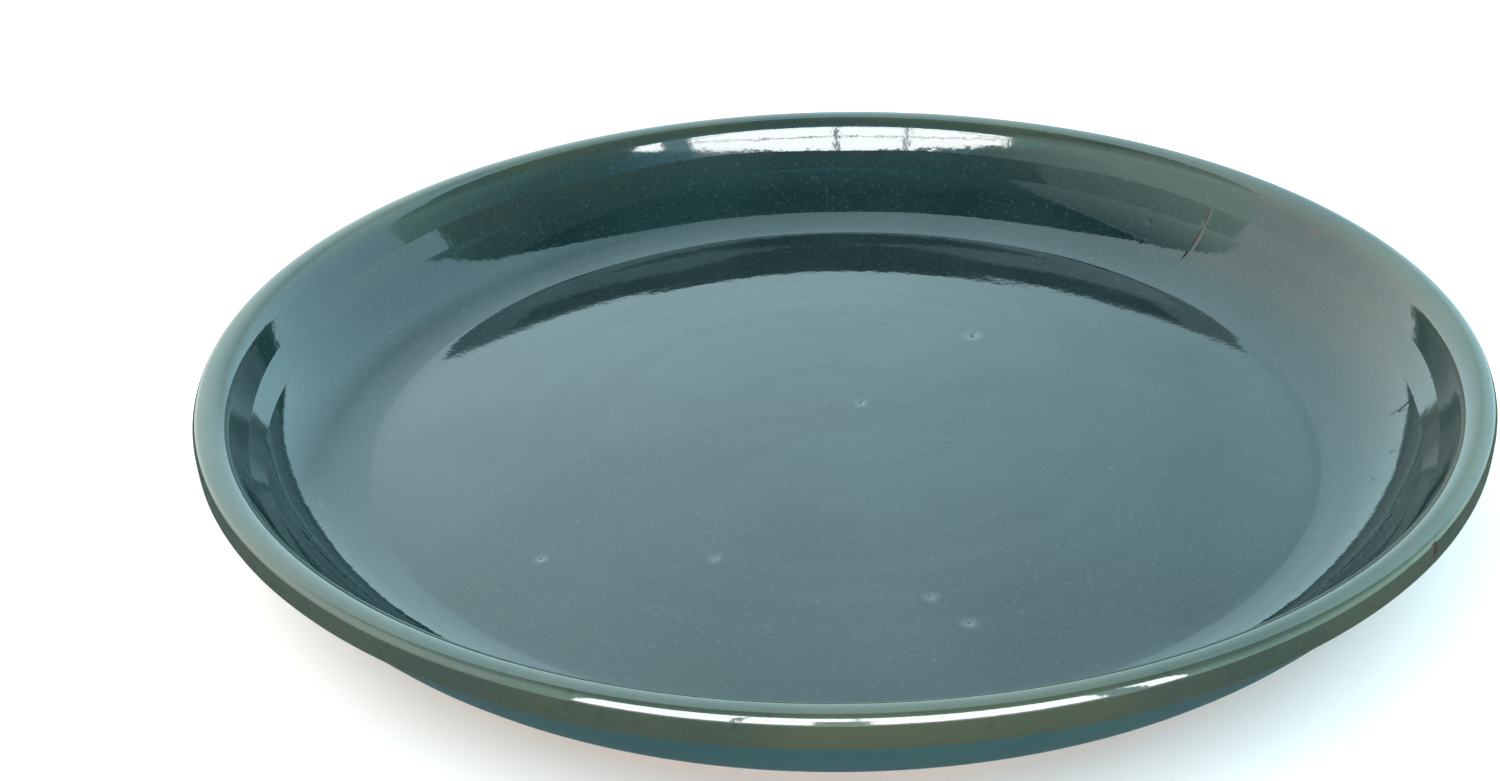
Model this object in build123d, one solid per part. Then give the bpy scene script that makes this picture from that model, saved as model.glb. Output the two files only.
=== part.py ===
from build123d import *
import os
from math import copysign, cos, radians, sin, tan

# Plant saucer: a wheel-thrown stoneware dish with a thick banded rim and a trimmed foot ring,
# under one coat of glossy glaze that stops short of the foot.
# Z is up. The origin is the middle of the plane that the foot ring stands on.
# Every outline is half of a cross-section, with X as the radius and Y as the height,
# and is turned once round the Z axis. Sizes are the bare clay's, in millimetres, and a pitch
# is in degrees above the level, for a line that runs outwards.

# Overall sizes
clay_radius = 149.5
clay_height = 34.5
glaze_thickness = 0.5

# Floor and foot: the floor is flat, and the foot is a ring left standing by the trimming
floor_thickness = 5.0
foot_width = 7.0
foot_step = 2.4
foot_recess = 2.0
foot_edge_round = 0.8
foot_root_round = 1.2

# Inside of the wall: a long curve out of the floor, then an easier one up to the rim
lower_curve_radius = 29.5
lower_curve_turn = 57.0
wall_top_pitch = 66.0

# Rim: a thick band with a soft inner edge and a narrow flat on top. Its outer edge is two rounds,
# a tight one and an easier one, above an upright side. The band is rounded under and runs back
# into the wall through a hollow.
rim_inner_round = 4.8
rim_flat = 1.1
rim_edge_round = 0.6
rim_edge_turn = 50.0
rim_side_round = 2.7
rim_lower_round = 1.2
rim_under_pitch = 30.0
rim_root_round = 2.0

# Outside of the wall: it follows the inside's curves one wall's thickness away, from the hollow
# under the rim down to the shoulder, and a trimmed slope leads from there to the foot.
# The hollow ends at this share of the turn between the lower curve's end and the wall's top.
wall_thickness = 4.6
wall_head_share = 0.68
wall_foot_pitch = 45.0
shoulder_round = 6.0
under_slope_pitch = 35.0

# Glaze: ends this far outside the foot ring, on the slope under the saucer
glaze_setback = 4.0

floor_level = foot_recess + floor_thickness
wall_head_pitch = lower_curve_turn + wall_head_share * (wall_top_pitch - lower_curve_turn)


def direction(pitch):
    """The direction that climbs outwards at this pitch."""
    return Vector(cos(radians(pitch)), sin(radians(pitch)))


def arc_span(radius, from_pitch, to_pitch):
    """From the start to the end of an arc that turns from one pitch to the other."""
    start, end = radians(from_pitch), radians(to_pitch)
    side = copysign(radius, to_pitch - from_pitch)
    return Vector(side * (sin(end) - sin(start)), side * (cos(start) - cos(end)))


def rim_edge_span():
    """From the outer end of the rim's flat to the rim's widest point."""
    edge_span = arc_span(rim_edge_round, 0, -rim_edge_turn)
    return edge_span + arc_span(rim_side_round, -rim_edge_turn, -90)


def rim_top():
    """The highest point of the inside of the dish, where the rim's flat begins."""
    return Vector(clay_radius - rim_edge_span().X - rim_flat, clay_height)


def wall_top():
    """The point where the inside of the wall meets the rim's inner round."""
    return rim_top() - arc_span(rim_inner_round, wall_top_pitch, 0)


def upper_curve_radius():
    """The radius that takes the inside of the wall from the lower curve up to its top."""
    lower_rise = arc_span(lower_curve_radius, 0, lower_curve_turn).Y
    upper_rise = wall_top().Y - floor_level - lower_rise
    return upper_rise / arc_span(1, lower_curve_turn, wall_top_pitch).Y


def wall_middle():
    """The point where the two curves of the inside of the wall meet."""
    return wall_top() - arc_span(upper_curve_radius(), lower_curve_turn, wall_top_pitch)


def inside_edges():
    """The inside of the dish, from the axis over the floor and up to the top of the rim."""
    floor_edge = wall_middle() - arc_span(lower_curve_radius, 0, lower_curve_turn)
    return [
        Line((0, floor_level), floor_edge),
        TangentArc(floor_edge, wall_middle(), tangent=direction(0)),
        TangentArc(wall_middle(), wall_top(), tangent=direction(lower_curve_turn)),
        TangentArc(wall_top(), rim_top(), tangent=direction(wall_top_pitch)),
    ]


def outer_wall_middle():
    """The point where the two curves of the outside of the wall meet, square to the inside's."""
    return wall_middle() + direction(lower_curve_turn - 90) * wall_thickness


def wall_head():
    """The highest point of the outside of the wall, where the hollow under the rim begins."""
    outer_radius = upper_curve_radius() + wall_thickness
    return outer_wall_middle() + arc_span(outer_radius, lower_curve_turn, wall_head_pitch)


def wall_foot():
    """The lowest point of the outside of the wall, where the shoulder begins."""
    outer_radius = lower_curve_radius + wall_thickness
    return outer_wall_middle() - arc_span(outer_radius, wall_foot_pitch, lower_curve_turn)


def slope_top():
    """The outer end of the trimmed slope, where the shoulder ends."""
    return wall_foot() + arc_span(shoulder_round, wall_foot_pitch - 180, under_slope_pitch - 180)


def foot_root():
    """The corner, before rounding, between the foot ring and the slope that leads to it."""
    slope_height = slope_top().Y - foot_step
    return Vector(slope_top().X - slope_height / tan(radians(under_slope_pitch)), foot_step)


def glaze_line():
    """The point on the slope under the saucer where the glaze ends."""
    slope = slope_top() - foot_root()
    return foot_root() + slope * (glaze_setback / slope.X)


def rim_edges():
    """The rim, from its top out to its widest point, down its side and back in to the wall."""
    flat_end = rim_top() + Vector(rim_flat, 0)
    edge_end = flat_end + arc_span(rim_edge_round, 0, -rim_edge_turn)
    widest = flat_end + rim_edge_span()
    lower_span = arc_span(rim_lower_round, -90, rim_under_pitch - 180)
    root_span = arc_span(rim_root_round, rim_under_pitch - 180, wall_head_pitch - 180)
    under_reach = clay_radius + lower_span.X + root_span.X - wall_head().X
    under_start_height = wall_head().Y - root_span.Y + under_reach * tan(radians(rim_under_pitch))
    under_start = Vector(clay_radius + lower_span.X, under_start_height)
    under_end = wall_head() - root_span
    side_foot = under_start - lower_span
    return [
        Line(rim_top(), flat_end),
        TangentArc(flat_end, edge_end, tangent=direction(0)),
        TangentArc(edge_end, widest, tangent=direction(-rim_edge_turn)),
        Line(widest, side_foot),
        TangentArc(side_foot, under_start, tangent=direction(-90)),
        Line(under_start, under_end),
        TangentArc(under_end, wall_head(), tangent=direction(rim_under_pitch - 180)),
    ]


def outer_wall_edges():
    """The outside of the wall and the shoulder, from the hollow under the rim to the glaze line."""
    return [
        TangentArc(wall_head(), outer_wall_middle(), tangent=direction(wall_head_pitch - 180)),
        TangentArc(outer_wall_middle(), wall_foot(), tangent=direction(lower_curve_turn - 180)),
        TangentArc(wall_foot(), slope_top(), tangent=direction(wall_foot_pitch - 180)),
        Line(slope_top(), glaze_line()),
    ]


def foot_edges():
    """The bare underside, from the glaze line over the foot ring to the axis."""
    foot_radius = foot_root().X
    foot_inner_radius = foot_radius - foot_width
    corners = [
        foot_root(),
        (foot_radius, 0),
        (foot_inner_radius, 0),
        (foot_inner_radius, foot_recess),
    ]
    rounds = [foot_root_round, foot_edge_round, foot_edge_round, foot_root_round]
    return FilletPolyline(glaze_line(), *corners, (0, foot_recess), radius=rounds).edges()


def glazed_edges():
    """Everything that the glaze covers, from the middle of the floor to the glaze line."""
    return [*inside_edges(), *rim_edges(), *outer_wall_edges()]


def clay_section():
    """Half of the clay's cross-section."""
    axis_side = Line((0, foot_recess), (0, floor_level))
    return make_face([*glazed_edges(), *foot_edges(), axis_side])


def glaze_point(edge, end):
    """The point on the glaze's surface that covers the start (0) or the end (1) of an edge."""
    along = edge % end
    return edge @ end + Vector(-along.Y, along.X) * glaze_thickness


def lifted(edge):
    """The line or arc on the glaze's surface that covers an edge of the clay."""
    start, end = glaze_point(edge, 0), glaze_point(edge, 1)
    if edge.geom_type == GeomType.LINE:
        return Line(start, end)
    return TangentArc(start, end, tangent=edge % 0)


def glaze_section():
    """Half of the glaze's cross-section: a skin that lies on the glazed side of the clay."""
    covered = glazed_edges()
    surface = [lifted(edge) for edge in covered]
    axis_side = Line(covered[0] @ 0, surface[0] @ 0)
    glaze_edge = Line(covered[-1] @ 1, surface[-1] @ 1)
    return make_face([*covered, *surface, axis_side, glaze_edge])


def turned(section):
    """The solid that a half section sweeps when it is turned once round the Z axis."""
    return revolve(Plane.XZ * section, axis=Axis.Z)


os.makedirs("parts", exist_ok=True)
export_step(turned(clay_section()), "parts/clay_body.step")
export_step(turned(glaze_section()), "parts/glaze_coat.step")
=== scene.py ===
from math import cos, pi, radians, sin, tan

import bpy
import numpy as np
from mathutils import Matrix


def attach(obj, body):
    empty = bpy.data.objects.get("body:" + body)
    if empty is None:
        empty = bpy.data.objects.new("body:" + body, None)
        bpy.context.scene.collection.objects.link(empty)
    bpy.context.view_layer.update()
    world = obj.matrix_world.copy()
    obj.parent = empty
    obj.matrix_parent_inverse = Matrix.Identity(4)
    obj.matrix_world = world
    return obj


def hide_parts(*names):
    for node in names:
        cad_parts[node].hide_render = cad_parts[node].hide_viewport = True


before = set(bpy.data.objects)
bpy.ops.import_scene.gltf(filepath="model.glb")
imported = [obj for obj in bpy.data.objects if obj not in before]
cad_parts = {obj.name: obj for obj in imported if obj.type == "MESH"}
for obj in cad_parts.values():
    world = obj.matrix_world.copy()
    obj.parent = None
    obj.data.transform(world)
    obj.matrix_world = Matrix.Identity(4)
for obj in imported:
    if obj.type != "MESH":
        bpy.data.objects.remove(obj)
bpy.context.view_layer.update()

# Plant saucer, dressed: the glaze coat and the clay under it are made again as hand-thrown
# surfaces, with the same section as the solids. The section is in millimetres and the meshes
# are in metres, Z up, with the origin in the middle of the plane that the foot stands on.
# A length is measured along the outline, from the middle of the floor over the rim to the
# middle of the underside. A pitch is the outline's slope above the level.

MM = 0.001

# Section of the bare clay, as the solids have it
clay_radius = 149.5
clay_height = 34.5
glaze_thickness = 0.5
floor_thickness = 5.0
foot_width = 7.0
foot_step = 2.4
foot_recess = 2.0
foot_edge_round = 0.8
foot_root_round = 1.2
lower_curve_radius = 29.5
lower_curve_turn = 57.0
wall_top_pitch = 66.0
rim_inner_round = 4.8
rim_flat = 1.1
rim_edge_round = 0.6
rim_edge_turn = 50.0
rim_side_round = 2.7
rim_lower_round = 1.2
rim_under_pitch = 30.0
rim_root_round = 2.0
wall_thickness = 4.6
wall_head_share = 0.68
wall_foot_pitch = 45.0
shoulder_round = 6.0
under_slope_pitch = 35.0
glaze_setback = 4.0
floor_level = foot_recess + floor_thickness
wall_head_pitch = lower_curve_turn + wall_head_share * (wall_top_pitch - lower_curve_turn)

# How finely the section is drawn
ARC_STEPS = 60
SHORTEST_STEP = 1e-6
SEARCH_STEPS = 60000


# The section

def arc_run(start, radius, from_pitch, to_pitch):
    """Points of an arc and the pitch at each: from the start, the radius times (sin p - sin a,
    cos a - cos p) for every pitch p on the way from a, with its sign changed on a right turn."""
    pitch = np.radians(np.linspace(from_pitch, to_pitch, ARC_STEPS))
    side = np.sign(to_pitch - from_pitch)
    across = start[0] + side * radius * (np.sin(pitch) - np.sin(pitch[0]))
    up = start[1] + side * radius * (np.cos(pitch[0]) - np.cos(pitch))
    return np.stack([across, up, pitch], 1)


def arc_span(radius, from_pitch, to_pitch):
    """Across and up from the start to the end of an arc."""
    return arc_run((0, 0), radius, from_pitch, to_pitch)[-1, :2]


def rim_top():
    """The highest point of the inside of the dish, where the rim's flat begins."""
    edge = arc_span(rim_edge_round, 0, -rim_edge_turn)
    edge = edge + arc_span(rim_side_round, -rim_edge_turn, -90)
    return np.array([clay_radius - edge[0] - rim_flat, clay_height])


def wall_top():
    """The point where the inside of the wall meets the rim's inner round."""
    return rim_top() - arc_span(rim_inner_round, wall_top_pitch, 0)


def upper_curve_radius():
    """The radius that takes the inside of the wall from the lower curve up to its top."""
    lower_rise = arc_span(lower_curve_radius, 0, lower_curve_turn)[1]
    upper_rise = wall_top()[1] - floor_level - lower_rise
    return upper_rise / arc_span(1, lower_curve_turn, wall_top_pitch)[1]


def wall_middle():
    """The point where the two curves of the inside of the wall meet."""
    return wall_top() - arc_span(upper_curve_radius(), lower_curve_turn, wall_top_pitch)


def outer_wall_middle():
    """The point where the two curves of the outside of the wall meet, square to the inside's."""
    turn = radians(lower_curve_turn)
    return wall_middle() + wall_thickness * np.array([sin(turn), -cos(turn)])


def wall_head():
    """The highest point of the outside of the wall, where the hollow under the rim begins."""
    outer_radius = upper_curve_radius() + wall_thickness
    return outer_wall_middle() + arc_span(outer_radius, lower_curve_turn, wall_head_pitch)


def slope_top():
    """The outer end of the trimmed slope, where the shoulder ends."""
    outer_radius = lower_curve_radius + wall_thickness
    wall_foot = outer_wall_middle() - arc_span(outer_radius, wall_foot_pitch, lower_curve_turn)
    return wall_foot + arc_span(shoulder_round, wall_foot_pitch - 180, under_slope_pitch - 180)


def foot_root():
    """The corner, before rounding, between the foot ring and the slope that leads to it."""
    slope_height = slope_top()[1] - foot_step
    return np.array([slope_top()[0] - slope_height / tan(radians(under_slope_pitch)), foot_step])


def inside_runs():
    """The floor's middle, the two curves of the inner wall and the rim's inner round."""
    floor_edge = wall_middle() - arc_span(lower_curve_radius, 0, lower_curve_turn)
    return [
        np.array([[0.0, floor_level, 0.0]]),
        arc_run(floor_edge, lower_curve_radius, 0, lower_curve_turn),
        arc_run(wall_middle(), upper_curve_radius(), lower_curve_turn, wall_top_pitch),
        arc_run(wall_top(), rim_inner_round, wall_top_pitch, 0),
    ]


def rim_runs():
    """The rim's edge, its side, its rounded lower edge and the hollow under it; straight lines
    join them."""
    edge = arc_run(rim_top() + (rim_flat, 0), rim_edge_round, 0, -rim_edge_turn)
    side = arc_run(edge[-1, :2], rim_side_round, -rim_edge_turn, -90)
    lower_span = arc_span(rim_lower_round, -90, rim_under_pitch - 180)
    root_turn = rim_under_pitch - 180, wall_head_pitch - 180
    under_end = wall_head() - arc_span(rim_root_round, *root_turn)
    under_reach = clay_radius + lower_span[0] - under_end[0]
    under_rise = under_reach * tan(radians(rim_under_pitch))
    side_foot = (clay_radius, under_end[1] + under_rise - lower_span[1])
    return [
        edge,
        side,
        arc_run(side_foot, rim_lower_round, -90, rim_under_pitch - 180),
        arc_run(under_end, rim_root_round, *root_turn),
    ]


def outer_wall_runs():
    """The two curves of the outside of the wall and the shoulder."""
    turns = np.array([wall_head_pitch, lower_curve_turn, wall_foot_pitch, under_slope_pitch]) - 180
    upper = arc_run(wall_head(), upper_curve_radius() + wall_thickness, turns[0], turns[1])
    lower_radius = lower_curve_radius + wall_thickness
    lower = arc_run(outer_wall_middle(), lower_radius, turns[1], turns[2])
    shoulder = arc_run(lower[-1, :2], shoulder_round, turns[2], turns[3])
    return [upper, lower, shoulder]


def foot_runs():
    """The foot ring: every corner gets an arc, which starts a round times the tangent of half the
    turn before the corner. The run ends in the middle of the underside."""
    foot_radius = foot_root()[0]
    corners = np.array([
        slope_top(),
        foot_root(),
        (foot_radius, 0),
        (foot_radius - foot_width, 0),
        (foot_radius - foot_width, foot_recess),
        (0, foot_recess),
    ])
    rounds = [foot_root_round, foot_edge_round, foot_edge_round, foot_root_round]
    sides = np.diff(corners, axis=0)
    pitches = np.degrees(np.unwrap(np.arctan2(sides[:, 1], sides[:, 0])))
    runs = []
    for corner, radius, before, after in zip(corners[1:-1], rounds, pitches[:-1], pitches[1:]):
        back = radius * tan(radians(abs(after - before)) / 2)
        start = corner - back * np.array([cos(radians(before)), sin(radians(before))])
        runs.append(arc_run(start, radius, before, after))
    runs.append(np.array([[0.0, foot_recess, radians(pitches[-1])]]))
    return runs


def section():
    """The clay's whole outline: across, up, pitch and length."""
    line = np.concatenate(inside_runs() + rim_runs() + outer_wall_runs() + foot_runs())
    steps = np.hypot(*np.diff(line[:, :2], axis=0).T)
    line = line[np.concatenate([[True], steps > SHORTEST_STEP])]
    length = np.concatenate([[0], np.cumsum(np.hypot(*np.diff(line[:, :2], axis=0).T))])
    return line[:, 0], line[:, 1], line[:, 2], length


ACROSS, UP, PITCH, LENGTH = section()


def along(lengths):
    """Across, up and pitch at these lengths."""
    return [np.interp(lengths, LENGTH, values) for values in (ACROSS, UP, PITCH)]


def length_at(target_across, target_up):
    """The length at the outline's point nearest to this one."""
    fine = np.linspace(0, LENGTH[-1], SEARCH_STEPS)
    across, up, _ = along(fine)
    return fine[np.argmin((across - target_across) ** 2 + (up - target_up) ** 2)]


def glaze_line_length():
    """Where the glaze ends: on the slope, one setback outside the foot ring."""
    slope = slope_top() - foot_root()
    return length_at(*(foot_root() + slope * glaze_setback / slope[0]))


GLAZE_END = glaze_line_length()
RIM_TOP = length_at(*rim_top())
BAND_EDGE = length_at(*rim_runs()[2][-1, :2])


# The hand in it: everything the wheel, the fingers and the kiln leave on a plain section.
# Heights, pitches and places are in millimetres, and starts are in radians.

# How a sum of chance waves is drawn
NOISE_WAVES = 12
NOISE_PITCHES = (0.7, 1.6)
NOISE_WEIGHTS = (0.5, 1.0)
NOISE_LEVEL = 2.6

# The wobble of the rim: swings round the saucer, share of the radius or height, and start
DRAWN_IN_TWICE = (2, 0.0008, -0.9)
DRAWN_IN_THRICE = (3, 0.0004, 1.3)
SUNK_TWICE = (2, 0.0030, 2.2)
RADIUS_POWER, HEIGHT_POWER = 4, 2

# The throwing marks: height, pitch and start of each spiral
FLOOR_SPIRAL = (0.020, 11.5, 0.0)
SLOW_SPIRAL = (0.016, 27.0, 1.0)
WALL_SPIRAL = (0.012, 9.0, 0.0)
FLOOR_SPIRAL_MIDDLE, FLOOR_SPIRAL_REACH = 45.0, 55.0
WALL_SPIRAL_START, WALL_SPIRAL_FADE = 108.0, 14.0

# The coat's unevenness: seed, waves round the saucer, pitch, height and where it is whole
COAT_SEED, COAT_WAVES, COAT_PITCH, COAT_HEIGHT, COAT_WHOLE = 3, (3, 14), 60.0, 0.020, 30.0

# The stretch over the rim, counted from its top, where none of the marks show
STILL_MIDDLE, STILL_REACH = 3.0, 11.0


def smooth_noise(seed, angle, length, waves, pitch_mm, size):
    """A sum of slanting waves that close round the saucer: for each wave, its size times the
    sine of a whole number times the angle plus the length over its own pitch plus a start."""
    chance = np.random.default_rng(seed)
    total = np.zeros(np.broadcast(angle, length).shape)
    for _ in range(NOISE_WAVES):
        count = chance.integers(waves[0], waves[1] + 1)
        pitch = pitch_mm * chance.uniform(*NOISE_PITCHES) * chance.choice([-1, 1])
        start = chance.uniform(0, 2 * pi)
        weight = chance.uniform(*NOISE_WEIGHTS)
        total += weight * np.sin(count * angle + 2 * pi * length / pitch + start)
    return total * size / NOISE_LEVEL


def swings(angle, count, size, start):
    """A swing from nought to twice the size and back, this many times round the saucer."""
    return size * (1 - np.cos(count * angle + start))


def out_of_round(angle, across, up):
    """The rim's wobble: it is drawn in and sunk by shares of its radius and height that swing
    round the saucer, so it never stands out past the plain section."""
    drawn_in = swings(angle, *DRAWN_IN_TWICE) + swings(angle, *DRAWN_IN_THRICE)
    drawn_in = drawn_in * np.clip(across / clay_radius, 0, 1) ** RADIUS_POWER
    sunk = swings(angle, *SUNK_TWICE) * np.clip(up / clay_height, 0, 1) ** HEIGHT_POWER
    return across * (1 - drawn_in), up * (1 - sunk)


def spiral(angle, length, height, pitch, start):
    """A wave along the outline that moves on by one pitch in each turn of the wheel."""
    return height * np.sin(2 * pi * length / pitch - angle + start)


def plateau(length, middle, reach):
    """One round the middle and nought well beyond the reach: e to minus the fourth power of the
    distance over the reach."""
    return np.exp(-((length - middle) / reach) ** 4)


def fade(length, place, reach):
    """From one to nought over the reach on both sides of the place, or from nought to one where
    the reach is negative."""
    return 1 / (1 + np.exp((length - place) / reach))


def throwing(angle, length):
    """Ripple off the plain section: a shallow spiral on the floor, softer rings up the wall and
    the unevenness of a thick coat, all of it gone at the rim."""
    marks = spiral(angle, length, *FLOOR_SPIRAL) + spiral(angle, length, *SLOW_SPIRAL)
    marks = marks * plateau(length, FLOOR_SPIRAL_MIDDLE, FLOOR_SPIRAL_REACH)
    past_start = np.clip(length - WALL_SPIRAL_START, 0, None)
    wall = 1 - np.exp(-(past_start / WALL_SPIRAL_FADE) ** 2)
    marks = marks + wall * spiral(angle, length, *WALL_SPIRAL)
    coat = smooth_noise(COAT_SEED, angle, length, COAT_WAVES, COAT_PITCH, COAT_HEIGHT)
    coat = coat * np.clip(length / COAT_WHOLE, 0, 1)
    return (marks + coat) * (1 - plateau(length - RIM_TOP, STILL_MIDDLE, STILL_REACH))


# Flaws in the glaze: length, angle in degrees, reach along and across the outline, and depth,
# which is negative for a bump.
PINHOLES = [
    (8.1, 60.2, 0.55, 0.55, 0.30),
    (56.4, 51.8, 0.75, 0.75, 0.38),
    (68.4, 245.2, 0.45, 0.45, 0.22),
    (79.1, 282.8, 0.50, 0.50, 0.26),
    (90.0, 286.1, 0.55, 0.55, 0.28),
    (90.6, 222.7, 0.45, 0.45, 0.22),
    (117.0, 224.6, 0.50, 0.50, 0.22),
    (129.0, 200.5, 0.55, 0.55, 0.22),
]
BUMPS = [
    (27.6, 333.2, 0.9, 0.9, -0.10),
    (137.2, 47.2, 0.8, 0.8, -0.16),
    (142.3, 39.9, 1.0, 0.5, -0.22),
    (137.2, 352.8, 0.8, 0.6, -0.16),
    (132.0, 346.3, 0.9, 0.6, -0.18),
    (127.5, 342.4, 0.7, 0.7, -0.14),
]
SCARS = [
    (138.6, 39.7, 4.6, 0.42, 0.16),
    (134.2, 353.4, 3.0, 0.35, 0.10),
    (129.4, 346.9, 2.6, 0.35, 0.08),
    (152.6, 25.4, 0.7, 1.9, 0.20),
    (163.5, 319.0, 1.6, 0.8, 0.26),
    (144.2, 204.0, 0.8, 0.9, 0.14),
]
FLAWS = PINHOLES + BUMPS + SCARS

# How far the colour round a flaw spreads, in its own reaches
HALO_SPREAD, PIT_SHADE_SPREAD, SCAR_SPREAD = 3.2, 0.9, 1.1


def bells(places, angle, length, across, spread=1.0):
    """One bell for every place, added up with the place's own depth: e to minus the square of the
    distance from it, along and across, over its reach there times the spread."""
    total = np.zeros(np.broadcast(angle, length, across).shape)
    for place, place_angle, reach_along, reach_across, depth in places:
        turned_by = (angle - radians(place_angle) + pi) % (2 * pi) - pi
        apart = ((length - place) / reach_along) ** 2 + (across * turned_by / reach_across) ** 2
        total += depth * np.exp(-apart / spread ** 2)
    return total


def evenly_deep(places):
    """The same places, each with a depth of one."""
    return [(*place[:4], 1.0) for place in places]


# Meshes

FINE_STEPS = 20000

# Columns and rows of the glaze and the clay, and the gap between rows where nothing bends
GLAZE_COLUMNS = 590
GLAZE_ROWS, GLAZE_GAP = 152, 3.4
GLAZE_UNDER_ROWS, GLAZE_UNDER_GAP = 16, 12.0
CLAY_COLUMNS = 320
CLAY_HIDDEN_ROWS, CLAY_HIDDEN_GAP = 60, 8.0
CLAY_SHOWN_ROWS, CLAY_SHOWN_GAP = 130, 1.4

# How strongly rows crowd at bends, and how strongly and how near rows and columns crowd at flaws
ROWS_PER_BEND, BEND_SMOOTHING = 5.0, 81
FLAW_ROW_GAIN, FLAW_ROW_REACH = 1.6, 2.2
FLAW_COLUMN_GAIN, FLAW_COLUMN_REACH = 3.2, 0.022

# The glaze's rounded end, and how far its hidden underside and the clay under it stay back
GLAZE_EDGE_ROUND = 1.6
GLAZE_UNDER_SUNK = 0.02
CLAY_SUNK, CLAY_SUNK_MARGIN = 0.12, 1.0

# Where the glaze's colours lie: middles, places and reaches; the rim's is counted from its top
# and the outside's from the band's lower edge
RIM_COLOUR_MIDDLE, RIM_COLOUR_REACH = 2.5, 7.5
THIN_EDGE_REACH = 0.7
FLOOR_COLOUR_END, FLOOR_COLOUR_FADE = 118.0, 4.0
OUTSIDE_COLOUR_START, OUTSIDE_COLOUR_FADE = 1.5, 0.6

# The turning marks inside the foot ring, and the toasted clay beside the glaze
TRIM_HEIGHT, TRIM_PITCH = 0.06, 5.5
TRIM_LOWEST, TRIM_PAST_GLAZE = 1.9, 16.0
TOAST_REACH = 2.2


def spaced(places, density, count):
    """This many of the places, closer where the density is higher: the density is added up along
    them and is read off at even steps."""
    filled = np.concatenate([[0], np.cumsum((density[1:] + density[:-1]) / 2)])
    return np.interp(np.linspace(0, filled[-1], count), filled, places)


def bend_rows(first, last, count, straight_gap, flaw_lengths=()):
    """Lengths that come closer where the outline bends: the density is one over the straight gap
    plus a share of the turn per millimetre, and more beside each flaw."""
    fine = np.linspace(first, last, FINE_STEPS)
    _, _, pitch = along(fine)
    bend = np.abs(np.gradient(pitch, fine))
    bend = np.convolve(bend, np.ones(BEND_SMOOTHING) / BEND_SMOOTHING, mode="same")
    density = 1 / straight_gap + ROWS_PER_BEND * bend
    for place in flaw_lengths:
        density = density + FLAW_ROW_GAIN * np.exp(-((fine - place) / FLAW_ROW_REACH) ** 2)
    return spaced(fine, density, count)


def flaw_columns(count):
    """Angles round the saucer, from 0 to a whole turn, that crowd where a flaw has to be shaped:
    the density is one plus a bell at each flaw."""
    fine = np.linspace(0, 2 * pi, FINE_STEPS)
    places = radians(1) * np.array([flaw[1] for flaw in FLAWS])
    crowding = np.exp(-((fine[:, None] - places[None, :]) / FLAW_COLUMN_REACH) ** 2).sum(1)
    return spaced(fine, 1 + FLAW_COLUMN_GAIN * crowding, count + 1)[:-1]


def turned_mesh(name, across, up, angles):
    """A closed skin: rows of rings from one point on the axis to another. across and up are grids
    of rows by angles, whose first and last rows shrink to a point on the axis. A point of the
    grid is at (across cos angle, across sin angle, up)."""
    rows, columns = across.shape
    inner = slice(1, rows - 1)
    x = (across[inner] * np.cos(angles)).ravel()
    y = (across[inner] * np.sin(angles)).ravel()
    z = up[inner].ravel()
    points = np.stack([x, y, z], 1)
    ends = np.array([[0, 0, up[0].mean()], [0, 0, up[-1].mean()]])
    points = np.concatenate([points, ends]) * MM
    ring = np.arange(columns)
    following = np.roll(ring, -1)
    row = np.arange(rows - 3)[:, None] * columns
    below = row + columns
    quads = np.stack([row + ring, below + ring, below + following, row + following], -1)
    last_row = (rows - 3) * columns
    first_end, last_end = len(points) - 2, len(points) - 1
    first_fan = np.stack([np.full(columns, first_end), ring, following], 1)
    last_fan = np.stack([np.full(columns, last_end), last_row + following, last_row + ring], 1)
    corners = np.concatenate([quads.ravel(), first_fan.ravel(), last_fan.ravel()])
    sizes = np.concatenate([np.full(quads.shape[0] * columns, 4), np.full(2 * columns, 3)])
    starts = np.concatenate([[0], np.cumsum(sizes)[:-1]])
    mesh = bpy.data.meshes.new(name)
    mesh.vertices.add(len(points))
    mesh.vertices.foreach_set("co", points.ravel())
    mesh.loops.add(len(corners))
    mesh.loops.foreach_set("vertex_index", corners.astype(np.int32))
    mesh.polygons.add(len(sizes))
    mesh.polygons.foreach_set("loop_start", starts.astype(np.int32))
    mesh.update(calc_edges=True)
    mesh.validate()
    mesh.shade_smooth()
    piece = bpy.data.objects.new(name, mesh)
    bpy.context.scene.collection.objects.link(piece)
    return piece


def give_values(piece, name, grid):
    """Stores one number per point, from a grid of rows by angles whose first and last rows are
    single points on the axis."""
    values = np.concatenate([grid[1:-1].ravel(), [grid[0].mean(), grid[-1].mean()]])
    store = piece.data.attributes.new(name, "FLOAT", "POINT")
    store.data.foreach_set("value", values.astype(np.float32))


def moved_off(lengths, off, angles):
    """Grids of across and up for the outline's points moved off it, square to it, and put out of
    round."""
    across, up, pitch = along(lengths)
    across_grid = across[:, None] - np.sin(pitch)[:, None] * off
    up_grid = up[:, None] + np.cos(pitch)[:, None] * off
    return out_of_round(angles[None, :], across_grid, up_grid)


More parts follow.
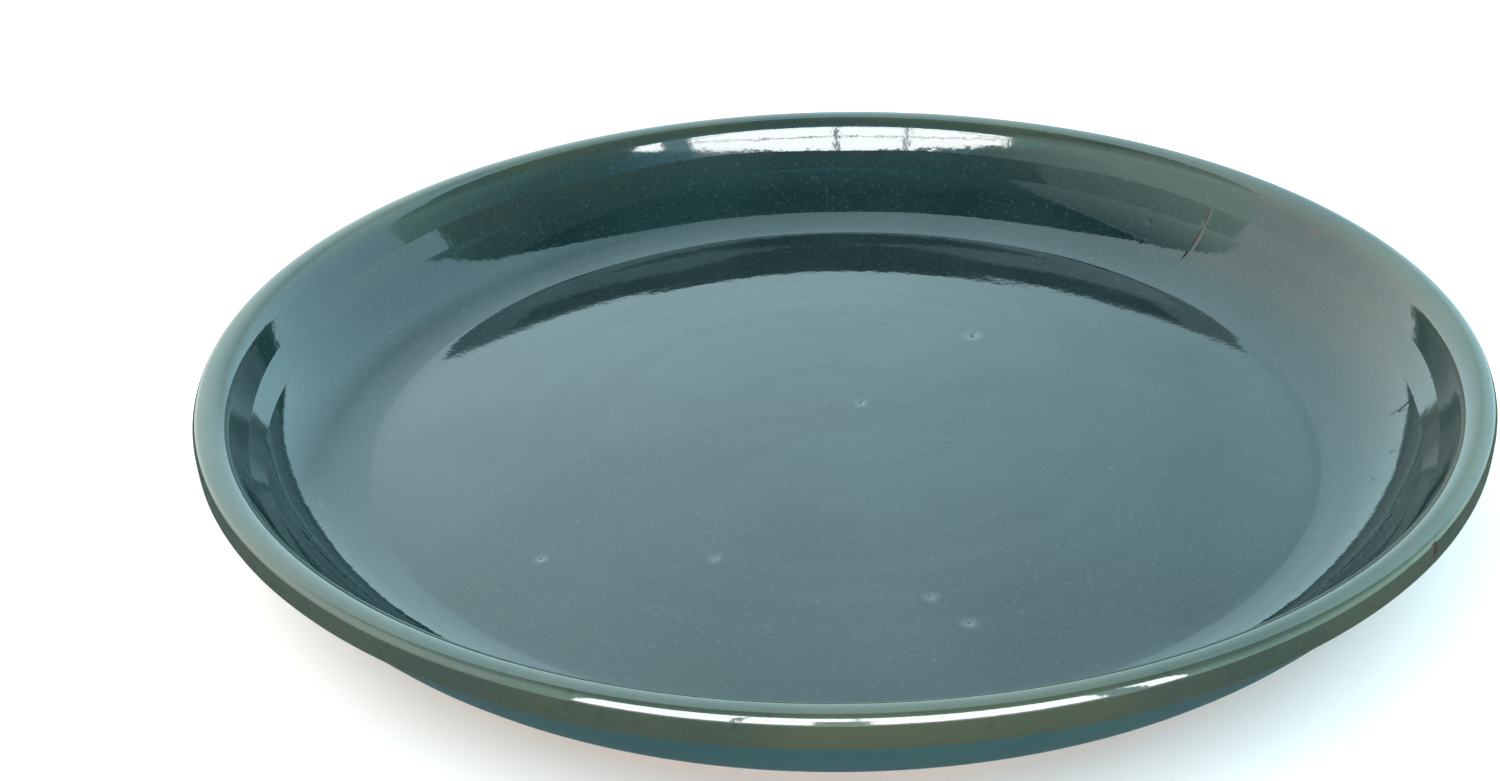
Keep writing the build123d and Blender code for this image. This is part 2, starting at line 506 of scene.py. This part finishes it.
def glaze_coat():
    """The glaze: a skin of even thickness on the glazed side of the clay, closed by a rounded edge
    at the glaze line and by its own underside against the clay."""
    angles = flaw_columns(GLAZE_COLUMNS)
    outer = bend_rows(0, GLAZE_END, GLAZE_ROWS, GLAZE_GAP, [flaw[0] for flaw in FLAWS])
    from_end = np.clip((GLAZE_END - outer) / GLAZE_EDGE_ROUND, 0, 1)
    thickness = glaze_thickness * np.sqrt(1 - (1 - from_end) ** 2)
    under = bend_rows(0, GLAZE_END, GLAZE_UNDER_ROWS, GLAZE_UNDER_GAP)[::-1][1:]
    lengths = np.concatenate([outer, under])
    lift = np.concatenate([thickness, np.zeros(len(under))])[:, None]
    place = angles[None, :], lengths[:, None], along(lengths)[0][:, None]
    ripple = throwing(*place[:2]) - bells(FLAWS, *place)
    ripple = np.where(lift > 0, ripple, np.minimum(ripple, 0) - GLAZE_UNDER_SUNK)
    piece = turned_mesh("glaze_skin", *moved_off(lengths, lift + ripple, angles), angles)
    everywhere = np.zeros(ripple.shape)
    length = lengths[:, None]
    rim = plateau(length - RIM_TOP, RIM_COLOUR_MIDDLE, RIM_COLOUR_REACH)
    give_values(piece, "rim", everywhere + rim)
    thin_edge = np.exp(-((length - BAND_EDGE) / THIN_EDGE_REACH) ** 2)
    give_values(piece, "thin_edge", everywhere + thin_edge)
    give_values(piece, "floor", everywhere + fade(length, FLOOR_COLOUR_END, FLOOR_COLOUR_FADE))
    outside = fade(length, BAND_EDGE + OUTSIDE_COLOUR_START, -OUTSIDE_COLOUR_FADE)
    give_values(piece, "outside", everywhere + outside)
    give_values(piece, "halo", bells(evenly_deep(PINHOLES), *place, HALO_SPREAD))
    # Where the pinholes' painted shade goes
    give_values(piece, "pit", bells(evenly_deep(PINHOLES), *place, PIT_SHADE_SPREAD))
    give_values(piece, "scar", bells(evenly_deep(SCARS), *place, SCAR_SPREAD))
    return piece


def clay_body():
    """The clay: bare below the glaze line and hidden under the coat above it, where it lies a
    hair inside the plain section. Inside the foot ring it has a spiral of turning marks."""
    angles = np.linspace(0, 2 * pi, CLAY_COLUMNS, endpoint=False)
    hidden = bend_rows(0, GLAZE_END, CLAY_HIDDEN_ROWS, CLAY_HIDDEN_GAP)
    shown = bend_rows(GLAZE_END, LENGTH[-1], CLAY_SHOWN_ROWS, CLAY_SHOWN_GAP)[1:]
    lengths = np.concatenate([hidden, shown])
    length, up = lengths[:, None], along(lengths)[1][:, None]
    sunk = np.where(length < GLAZE_END - CLAY_SUNK_MARGIN, -CLAY_SUNK, 0)
    recess = (up > TRIM_LOWEST) & (length > GLAZE_END + TRIM_PAST_GLAZE)
    from_middle = np.clip(LENGTH[-1] - length, 0, None)
    trimmed = TRIM_HEIGHT * np.sin(2 * pi * from_middle / TRIM_PITCH + angles[None, :]) * recess
    off = sunk + trimmed
    piece = turned_mesh("clay_skin", *moved_off(lengths, off, angles), angles)
    toasted = np.exp(-np.abs(length - GLAZE_END) / TOAST_REACH) + np.zeros(off.shape)
    give_values(piece, "toasted", toasted)
    return piece


# Materials

# Glaze: colours where the clouds are low and high, for each part of the coat
WALL_TEAL = (0.0050, 0.0135, 0.0140), (0.0080, 0.0190, 0.0185)
FLOOR_MILKY = (0.0090, 0.0150, 0.0160), (0.0140, 0.0220, 0.0220)
OUTSIDE_BLUE = (0.0150, 0.0480, 0.0520), (0.0230, 0.0600, 0.0600)
RIM_OLIVE = (0.0310, 0.0390, 0.0300), (0.0510, 0.0520, 0.0320)
EDGE_BROWN = (0.0620, 0.0520, 0.0260)
RUST = (0.0600, 0.0170, 0.0100), (0.0120, 0.0060, 0.0050)
PALE_GRAIN = (0.0450, 0.0620, 0.0640)
DARK_SPECK = (0.0030, 0.0070, 0.0075)
PALE_HALO = (0.1500, 0.1700, 0.1500)
# Painted shade: the near-black inside the pinholes
PIT_SHADE_BLACK = (0.0040, 0.0040, 0.0040)

# Bare clay
BUFF = (0.26, 0.17, 0.10), (0.40, 0.28, 0.18)
TOASTED_BROWN = (0.22, 0.09, 0.035)
IRON_SPECK = (0.05, 0.03, 0.02)

# Sizes of the clouds, the grain and the surface's unevenness, in how many there are to a metre,
# and the heights of the surface's unevenness in metres
GLAZE_CLOUDS, GLAZE_GRAIN, GLAZE_PEEL, GLAZE_PEEL_HEIGHT = 22.0, 900.0, 330.0, 0.000022
CLAY_CLOUDS, CLAY_GRIT, CLAY_GRIT_HEIGHT = 60.0, 1600.0, 0.00012
SPECKS_TO_A_CLOUD = 11.0

# Stretches of a noise that are carried over from nought to one or to a roughness, and stretches
# of a noise or an attribute with the shares of a colour that they are carried over to
WIDE, NARROW = (0.35, 0.65), (0.38, 0.62)
FULL = (0.3, 0.7)
IRON_SPECK_SHARE = (0.66, 0.72, 0.0, 0.8)
PALE_GRAIN_SHARE = (0.58, 0.72, 0.0, 0.35)
DARK_SPECK_SHARE = (0.64, 0.74, 0.0, 0.3)
HALO_SHARE = (0.1, 1.0, 0.0, 0.35)
SCAR_SHARE = (0.15, 0.7, 0.0, 0.9)
# How strongly the pinholes' painted shade covers the glaze
PIT_SHADE_SHARE = (0.2, 0.8, 0.0, 0.95)
RUST_STRETCH = (0.4, 0.6)

# Details of the noises, strengths of the uneven surfaces, roughnesses and the glaze's refraction
CLOUD_DETAIL, SPECK_DETAIL, FINE_DETAIL, PEEL_DETAIL, GRIT_DETAIL = 5.0, 2.0, 2.0, 2.5, 3.0
PEEL_STRENGTH, GRIT_STRENGTH = 1.0, 0.8
GLAZE_ROUGHNESS, CLAY_ROUGHNESS = (0.03, 0.07), (0.75, 0.92)
GLAZE_IOR = 1.5


def opaque(colour):
    """A colour with a fourth number that makes it opaque; a node's output stays as it is."""
    return (*colour, 1) if isinstance(colour, tuple) else colour


class Board:
    """The nodes of one material, group or world. add() puts a node on it: settings are the node's
    own, and every input is given a value or is joined to another node's output."""

    def __init__(self, tree):
        self.tree = tree

    def add(self, kind, inputs=(), **settings):
        node = self.tree.nodes.new(kind)
        for name, value in settings.items():
            setattr(node, name, value)
        for name, value in dict(inputs).items():
            self.put(node, name, value)
        return node

    def put(self, node, name, value):
        if isinstance(value, bpy.types.NodeSocket):
            self.tree.links.new(value, node.inputs[name])
        else:
            node.inputs[name].default_value = value

    def object_place(self):
        return self.add("ShaderNodeTexCoord").outputs["Object"]

    def attribute(self, name):
        return self.add("ShaderNodeAttribute", attribute_name=name).outputs["Fac"]

    def noise(self, place, scale, detail):
        inputs = {"Vector": place, "Scale": scale, "Detail": detail}
        return self.add("ShaderNodeTexNoise", inputs).outputs["Fac"]

    def spread(self, value, low, high, to_low=0.0, to_high=1.0):
        """The value, from low to high, carried over to another range and kept inside it."""
        inputs = {"Value": value, "From Min": low, "From Max": high}
        inputs.update({"To Min": to_low, "To Max": to_high})
        return self.add("ShaderNodeMapRange", inputs).outputs["Result"]

    def blend(self, share, first, second):
        """The first colour where the share is nought and the second where it is one."""
        inputs = {"Factor": share, "A": opaque(first), "B": opaque(second)}
        return self.add("ShaderNodeMix", inputs, data_type="RGBA").outputs["Result"]

    def uneven(self, place, scale, detail, strength, height):
        """A normal for a surface that a noise makes uneven, this high in metres."""
        inputs = {
            "Height": self.noise(place, scale, detail),
            "Strength": strength,
            "Distance": height,
        }
        return self.add("ShaderNodeBump", inputs).outputs["Normal"]


def new_material(name):
    """A material, its board and its Principled shader."""
    material = bpy.data.materials.new(name)
    material.use_nodes = True
    return material, Board(material.node_tree), material.node_tree.nodes["Principled BSDF"]


def mottle_group():
    """Clouds with finer ones, the specks, for glaze and clay. Both values are near a half, and
    the size is how many clouds there are to a metre."""
    group = bpy.data.node_groups.new("mottle", "ShaderNodeTree")
    group.interface.new_socket(name="Position", in_out="INPUT", socket_type="NodeSocketVector")
    group.interface.new_socket(name="Size", in_out="INPUT", socket_type="NodeSocketFloat")
    group.interface.new_socket(name="Clouds", in_out="OUTPUT", socket_type="NodeSocketFloat")
    group.interface.new_socket(name="Specks", in_out="OUTPUT", socket_type="NodeSocketFloat")
    board = Board(group)
    way_in = board.add("NodeGroupInput")
    way_out = board.add("NodeGroupOutput")
    place, size = way_in.outputs["Position"], way_in.outputs["Size"]
    board.put(way_out, "Clouds", board.noise(place, size, CLOUD_DETAIL))
    sizes = {0: size, 1: SPECKS_TO_A_CLOUD}
    finer = board.add("ShaderNodeMath", sizes, operation="MULTIPLY").outputs["Value"]
    board.put(way_out, "Specks", board.noise(place, finer, SPECK_DETAIL))
    return group


def mottled(board, mottle, place, size):
    """The clouds and specks of a mottle group at this place, with this many clouds to a metre."""
    node = board.add("ShaderNodeGroup", node_tree=mottle)
    board.put(node, "Position", place)
    board.put(node, "Size", size)
    return node.outputs["Clouds"], node.outputs["Specks"]


def glaze_material(mottle):
    """Glossy blue-green glaze: a deep teal on the walls, milkier where it lies thick on the
    floor, bluer outside, olive where it breaks over the rim and brown on the band's thin lower
    edge. It has clouds, fine specks, orange peel, pinholes with pale halos and rusty scars. The
    pinholes' black centres are painted shade in the holes."""
    material, board, shader = new_material("blue_green_glaze")
    place = board.object_place()
    clouds, specks = mottled(board, mottle, place, GLAZE_CLOUDS)

    def cloudy(colours, stretch):
        return board.blend(board.spread(clouds, *stretch), *colours)

    def over(colour, share, upper):
        return board.blend(share, colour, upper)

    colour = cloudy(WALL_TEAL, WIDE)
    colour = over(colour, board.attribute("floor"), cloudy(FLOOR_MILKY, NARROW))
    colour = over(colour, board.attribute("outside"), cloudy(OUTSIDE_BLUE, NARROW))
    colour = over(colour, board.attribute("rim"), cloudy(RIM_OLIVE, WIDE))
    colour = over(colour, board.attribute("thin_edge"), EDGE_BROWN)
    grain = board.noise(place, GLAZE_GRAIN, FINE_DETAIL)
    colour = over(colour, board.spread(grain, *PALE_GRAIN_SHARE), PALE_GRAIN)
    colour = over(colour, board.spread(specks, *DARK_SPECK_SHARE), DARK_SPECK)
    colour = over(colour, board.spread(board.attribute("halo"), *HALO_SHARE), PALE_HALO)
    rust = board.blend(board.spread(grain, *RUST_STRETCH), *RUST)
    colour = over(colour, board.spread(board.attribute("scar"), *SCAR_SHARE), rust)
    # Painted shade: the pinholes are blackened as if their insides lay in shade
    colour = over(colour, board.spread(board.attribute("pit"), *PIT_SHADE_SHARE), PIT_SHADE_BLACK)
    board.put(shader, "Base Color", colour)
    board.put(shader, "Roughness", board.spread(clouds, *FULL, *GLAZE_ROUGHNESS))
    shader.inputs["IOR"].default_value = GLAZE_IOR
    peel = board.uneven(place, GLAZE_PEEL, PEEL_DETAIL, PEEL_STRENGTH, GLAZE_PEEL_HEIGHT)
    board.put(shader, "Normal", peel)
    return material


def clay_material(mottle):
    """Bare stoneware: buff and matt, with darker clouds, iron specks, a gritty surface and a
    toasted line beside the glaze."""
    material, board, shader = new_material("bare_stoneware")
    place = board.object_place()
    clouds, specks = mottled(board, mottle, place, CLAY_CLOUDS)
    colour = board.blend(board.spread(clouds, *WIDE), *BUFF)
    colour = board.blend(board.attribute("toasted"), colour, TOASTED_BROWN)
    colour = board.blend(board.spread(specks, *IRON_SPECK_SHARE), colour, IRON_SPECK)
    board.put(shader, "Base Color", colour)
    board.put(shader, "Roughness", board.spread(clouds, *FULL, *CLAY_ROUGHNESS))
    grit = board.uneven(place, CLAY_GRIT, GRIT_DETAIL, GRIT_STRENGTH, CLAY_GRIT_HEIGHT)
    board.put(shader, "Normal", grit)
    return material


# Camera, table and light. Places are in metres.

TABLE_REACH = 6.0
TABLE_COLOUR, TABLE_ROUGHNESS = (0.92, 0.72, 0.68), 0.9
SHADE_RADIUS, SHADE_HEIGHT, SHADE_CORNERS = 0.34, 0.0006, 64
SHADE_LIGHT = (0.10, 0.14, 0.15)

CEILING_HEIGHT = 1.0
RIGHT_SIDE_X = 1.30

# The window: its plane, the ends of each casement and the heights of each row of panes
WINDOW_Y = -1.26
CASEMENTS = [(-1.02, -0.36), (-0.34, 0.02), (0.04, 0.92), (1.16, 1.90)]
PANES = [(0.02, 0.42), (0.44, 0.925), (0.94, 1.08)]
DAYLIGHT = (23, 24, 24)

# Something on the sill, just inside the window
STAND_Y, STAND_ENDS, STAND_HEIGHTS = -1.25, (-0.10, 0.07), (0.0, 0.43)
STAND_LIGHT = (2.0, 3.0, 2.8)

# The room's light from left to right: places from nought to one, and colours
SKY_STOPS = [
    (0.20, (0.82, 0.97, 0.94)),
    (0.38, (0.58, 0.82, 0.88)),
    (0.52, (0.46, 0.69, 0.76)),
    (0.60, (0.34, 0.54, 0.60)),
    (0.72, (0.52, 0.88, 1.00)),
]
SKY_STRENGTH = 3.3

# The photograph's frame and lens in its pixels, and its camera's place and turn
PHOTO_WIDTH, PHOTO_HEIGHT = 1500, 781
LENS_AXIS_X, LENS_AXIS_Y, LENS_PIXELS = 845, 408, 1700.2
CAMERA_PLACE = (0, -0.36905, 0.21651)
LOOK_DOWN, LEAN = radians(29.228), radians(-0.628)
SENSOR_WIDTH, NEAREST_SEEN = 36, 0.01


def staged(name, corners, material):
    """A flat face with these corners and this material, as part of the studio."""
    mesh = bpy.data.meshes.new(name)
    mesh.from_pydata([tuple(corner) for corner in corners], [], [tuple(range(len(corners)))])
    mesh.materials.append(material)
    piece = bpy.data.objects.new(name, mesh)
    bpy.context.scene.collection.objects.link(piece)
    return piece


def shining(name, near, far, axis, reach):
    """Plain light that fades from one colour to another between two places along an axis."""
    material, board, shader = new_material(name + "_light")
    split = board.add("ShaderNodeSeparateXYZ", {"Vector": board.object_place()})
    colour = board.blend(board.spread(split.outputs[axis], *reach), near, far)
    shine = board.add("ShaderNodeEmission", {"Color": colour})
    board.tree.nodes.remove(shader)
    output = board.tree.nodes["Material Output"]
    board.put(output, "Surface", shine.outputs["Emission"])
    return material


def card(name, corners, near, far=None, axis="X", reach=(0, 1)):
    """A flat studio card that shines. It is mirrored in the saucer, but doesn't show in the
    picture, light plain surfaces or shade the table."""
    piece = staged(name, corners, shining(name, near, far or near, axis, reach))
    piece.visible_camera = False
    piece.visible_diffuse = False
    piece.visible_shadow = False


def ceiling_card(name, left, right, y, **light):
    """A level card between two places of y, with x from left to right at each of the two."""
    places = [(left[0], y[0]), (right[0], y[0]), (right[1], y[1]), (left[1], y[1])]
    card(name, [(*place, CEILING_HEIGHT) for place in places], **light)


def upright_card(name, start, end, z, **light):
    """A standing card from one place on the table to another, over a stretch of height."""
    card(name, [(*start, z[0]), (*end, z[0]), (*end, z[1]), (*start, z[1])], **light)


def sky():
    """The room's own light: whiter on the left than on the right, and dimmer straight ahead."""
    world = bpy.data.worlds.new("studio_light")
    bpy.context.scene.world = world
    world.use_nodes = True
    board = Board(world.node_tree)
    direction = board.add("ShaderNodeTexCoord").outputs["Generated"]
    split = board.add("ShaderNodeSeparateXYZ", {"Vector": direction})
    ramp = board.add("ShaderNodeValToRGB", {"Fac": board.spread(split.outputs["X"], -1.0, 1.0)})
    elements = ramp.color_ramp.elements
    for place, _ in SKY_STOPS[len(elements):]:
        elements.new(place)
    for element, (place, colour) in zip(elements, SKY_STOPS):
        element.position = place
        element.color = (*colour, 1)
    background = world.node_tree.nodes["Background"]
    board.put(background, "Color", ramp.outputs["Color"])
    background.inputs["Strength"].default_value = SKY_STRENGTH


def window():
    """A broad window behind the camera: four casements with posts between them, two rails across
    them and something dim that stands on the sill."""
    for column, (start, end) in enumerate(CASEMENTS):
        for row, z in enumerate(PANES):
            name = f"window_{column}_{row}"
            upright_card(name, (start, WINDOW_Y), (end, WINDOW_Y), z, near=DAYLIGHT)
    start, end = [(x, STAND_Y) for x in STAND_ENDS]
    upright_card("stand", start, end, STAND_HEIGHTS, near=STAND_LIGHT)


def ceiling():
    """The ceiling between the window and the saucer: dark overhead, dim to the right and behind
    the camera, and pale on the left."""
    ceiling_card(
        "dark_overhead", left=(-0.62, -0.43), right=(0.62, 0.55), y=(-0.56, 0.40),
        near=(0.22, 0.40, 0.42), far=(0.03, 0.035, 0.05), axis="Y", reach=(-0.5, -0.08),
    )
    ceiling_card(
        "dim_right", left=(0.62, 0.55), right=(1.30, 1.30), y=(-0.56, 0.42),
        near=(0.20, 0.30, 0.26), far=(0.42, 0.62, 0.54), axis="X", reach=(0.60, 1.3),
    )
    ceiling_card(
        "dim_behind", left=(-0.73, -0.62), right=(1.30, 1.30), y=(-1.13, -0.56),
        near=(0.75, 1.75, 2.05), far=(0.24, 0.50, 0.52), axis="Y", reach=(-1.13, -0.66),
    )
    ceiling_card(
        "pale_left", left=(-3.0, -3.0), right=(-0.73, -0.43), y=(-1.13, 0.42),
        near=(2.5, 3.2, 2.9), far=(0.52, 0.78, 0.75), axis="X", reach=(-1.6, -0.5),
    )


def walls():
    """The wall to the right of the saucer and the corner to the left of the window."""
    upright_card(
        "right_side", start=(RIGHT_SIDE_X, -1.13), end=(RIGHT_SIDE_X, 0.45), z=(0.0, 1.0),
        near=(2.0, 3.6, 3.1), far=(0.50, 0.92, 0.84), axis="Z", reach=(0.0, 0.75),
    )
    upright_card(
        "left_corner", start=(-1.60, WINDOW_Y), end=(CASEMENTS[0][0], WINDOW_Y), z=(0.02, 1.08),
        near=(1.7, 3.0, 2.4),
    )


def studio():
    sky()
    window()
    ceiling()
    walls()


def ground():
    """The plain pale table. Its colour is warm because the room's light is cool."""
    material, _, shader = new_material("pale_paper")
    shader.inputs["Base Color"].default_value = (*TABLE_COLOUR, 1)
    shader.inputs["Roughness"].default_value = TABLE_ROUGHNESS
    signs = [(-1, -1), (1, -1), (1, 1), (-1, 1)]
    staged("pale_table", [(x * TABLE_REACH, y * TABLE_REACH, 0) for x, y in signs], material)


def table_shade():
    """What the outside of the saucer mirrors of the table: the shade round its foot."""
    angles = np.linspace(0, 2 * pi, SHADE_CORNERS, endpoint=False)
    corners = [(SHADE_RADIUS * cos(a), SHADE_RADIUS * sin(a), SHADE_HEIGHT) for a in angles]
    card("table_shade", corners, near=SHADE_LIGHT)


def photo_camera():
    """The photograph's own view: where its lens stood, how far it looked down and leaned over, and
    how long it was, with the frame cut off centre from the lens's axis."""
    camera = bpy.data.cameras.new("photo_camera")
    camera.sensor_width = SENSOR_WIDTH
    camera.lens = SENSOR_WIDTH * LENS_PIXELS / PHOTO_WIDTH
    camera.shift_x = -(LENS_AXIS_X - PHOTO_WIDTH / 2) / PHOTO_WIDTH
    camera.shift_y = (LENS_AXIS_Y - PHOTO_HEIGHT / 2) / PHOTO_WIDTH
    camera.clip_start = NEAREST_SEEN
    holder = bpy.data.objects.new("photo_camera", camera)
    bpy.context.scene.collection.objects.link(holder)
    turn = Matrix.Rotation(pi / 2 - LOOK_DOWN, 4, "X") @ Matrix.Rotation(LEAN, 4, "Z")
    holder.matrix_world = Matrix.Translation(CAMERA_PLACE) @ turn
    bpy.context.scene.camera = holder


def main():
    mottle = mottle_group()
    glaze = glaze_coat()
    glaze.data.materials.append(glaze_material(mottle))
    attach(glaze, "root")
    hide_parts("glaze_coat")
    clay = clay_body()
    clay.data.materials.append(clay_material(mottle))
    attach(clay, "root")
    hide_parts("clay_body")
    ground()
    table_shade()
    studio()
    photo_camera()
    bpy.context.scene.view_settings.view_transform = "Standard"


main()
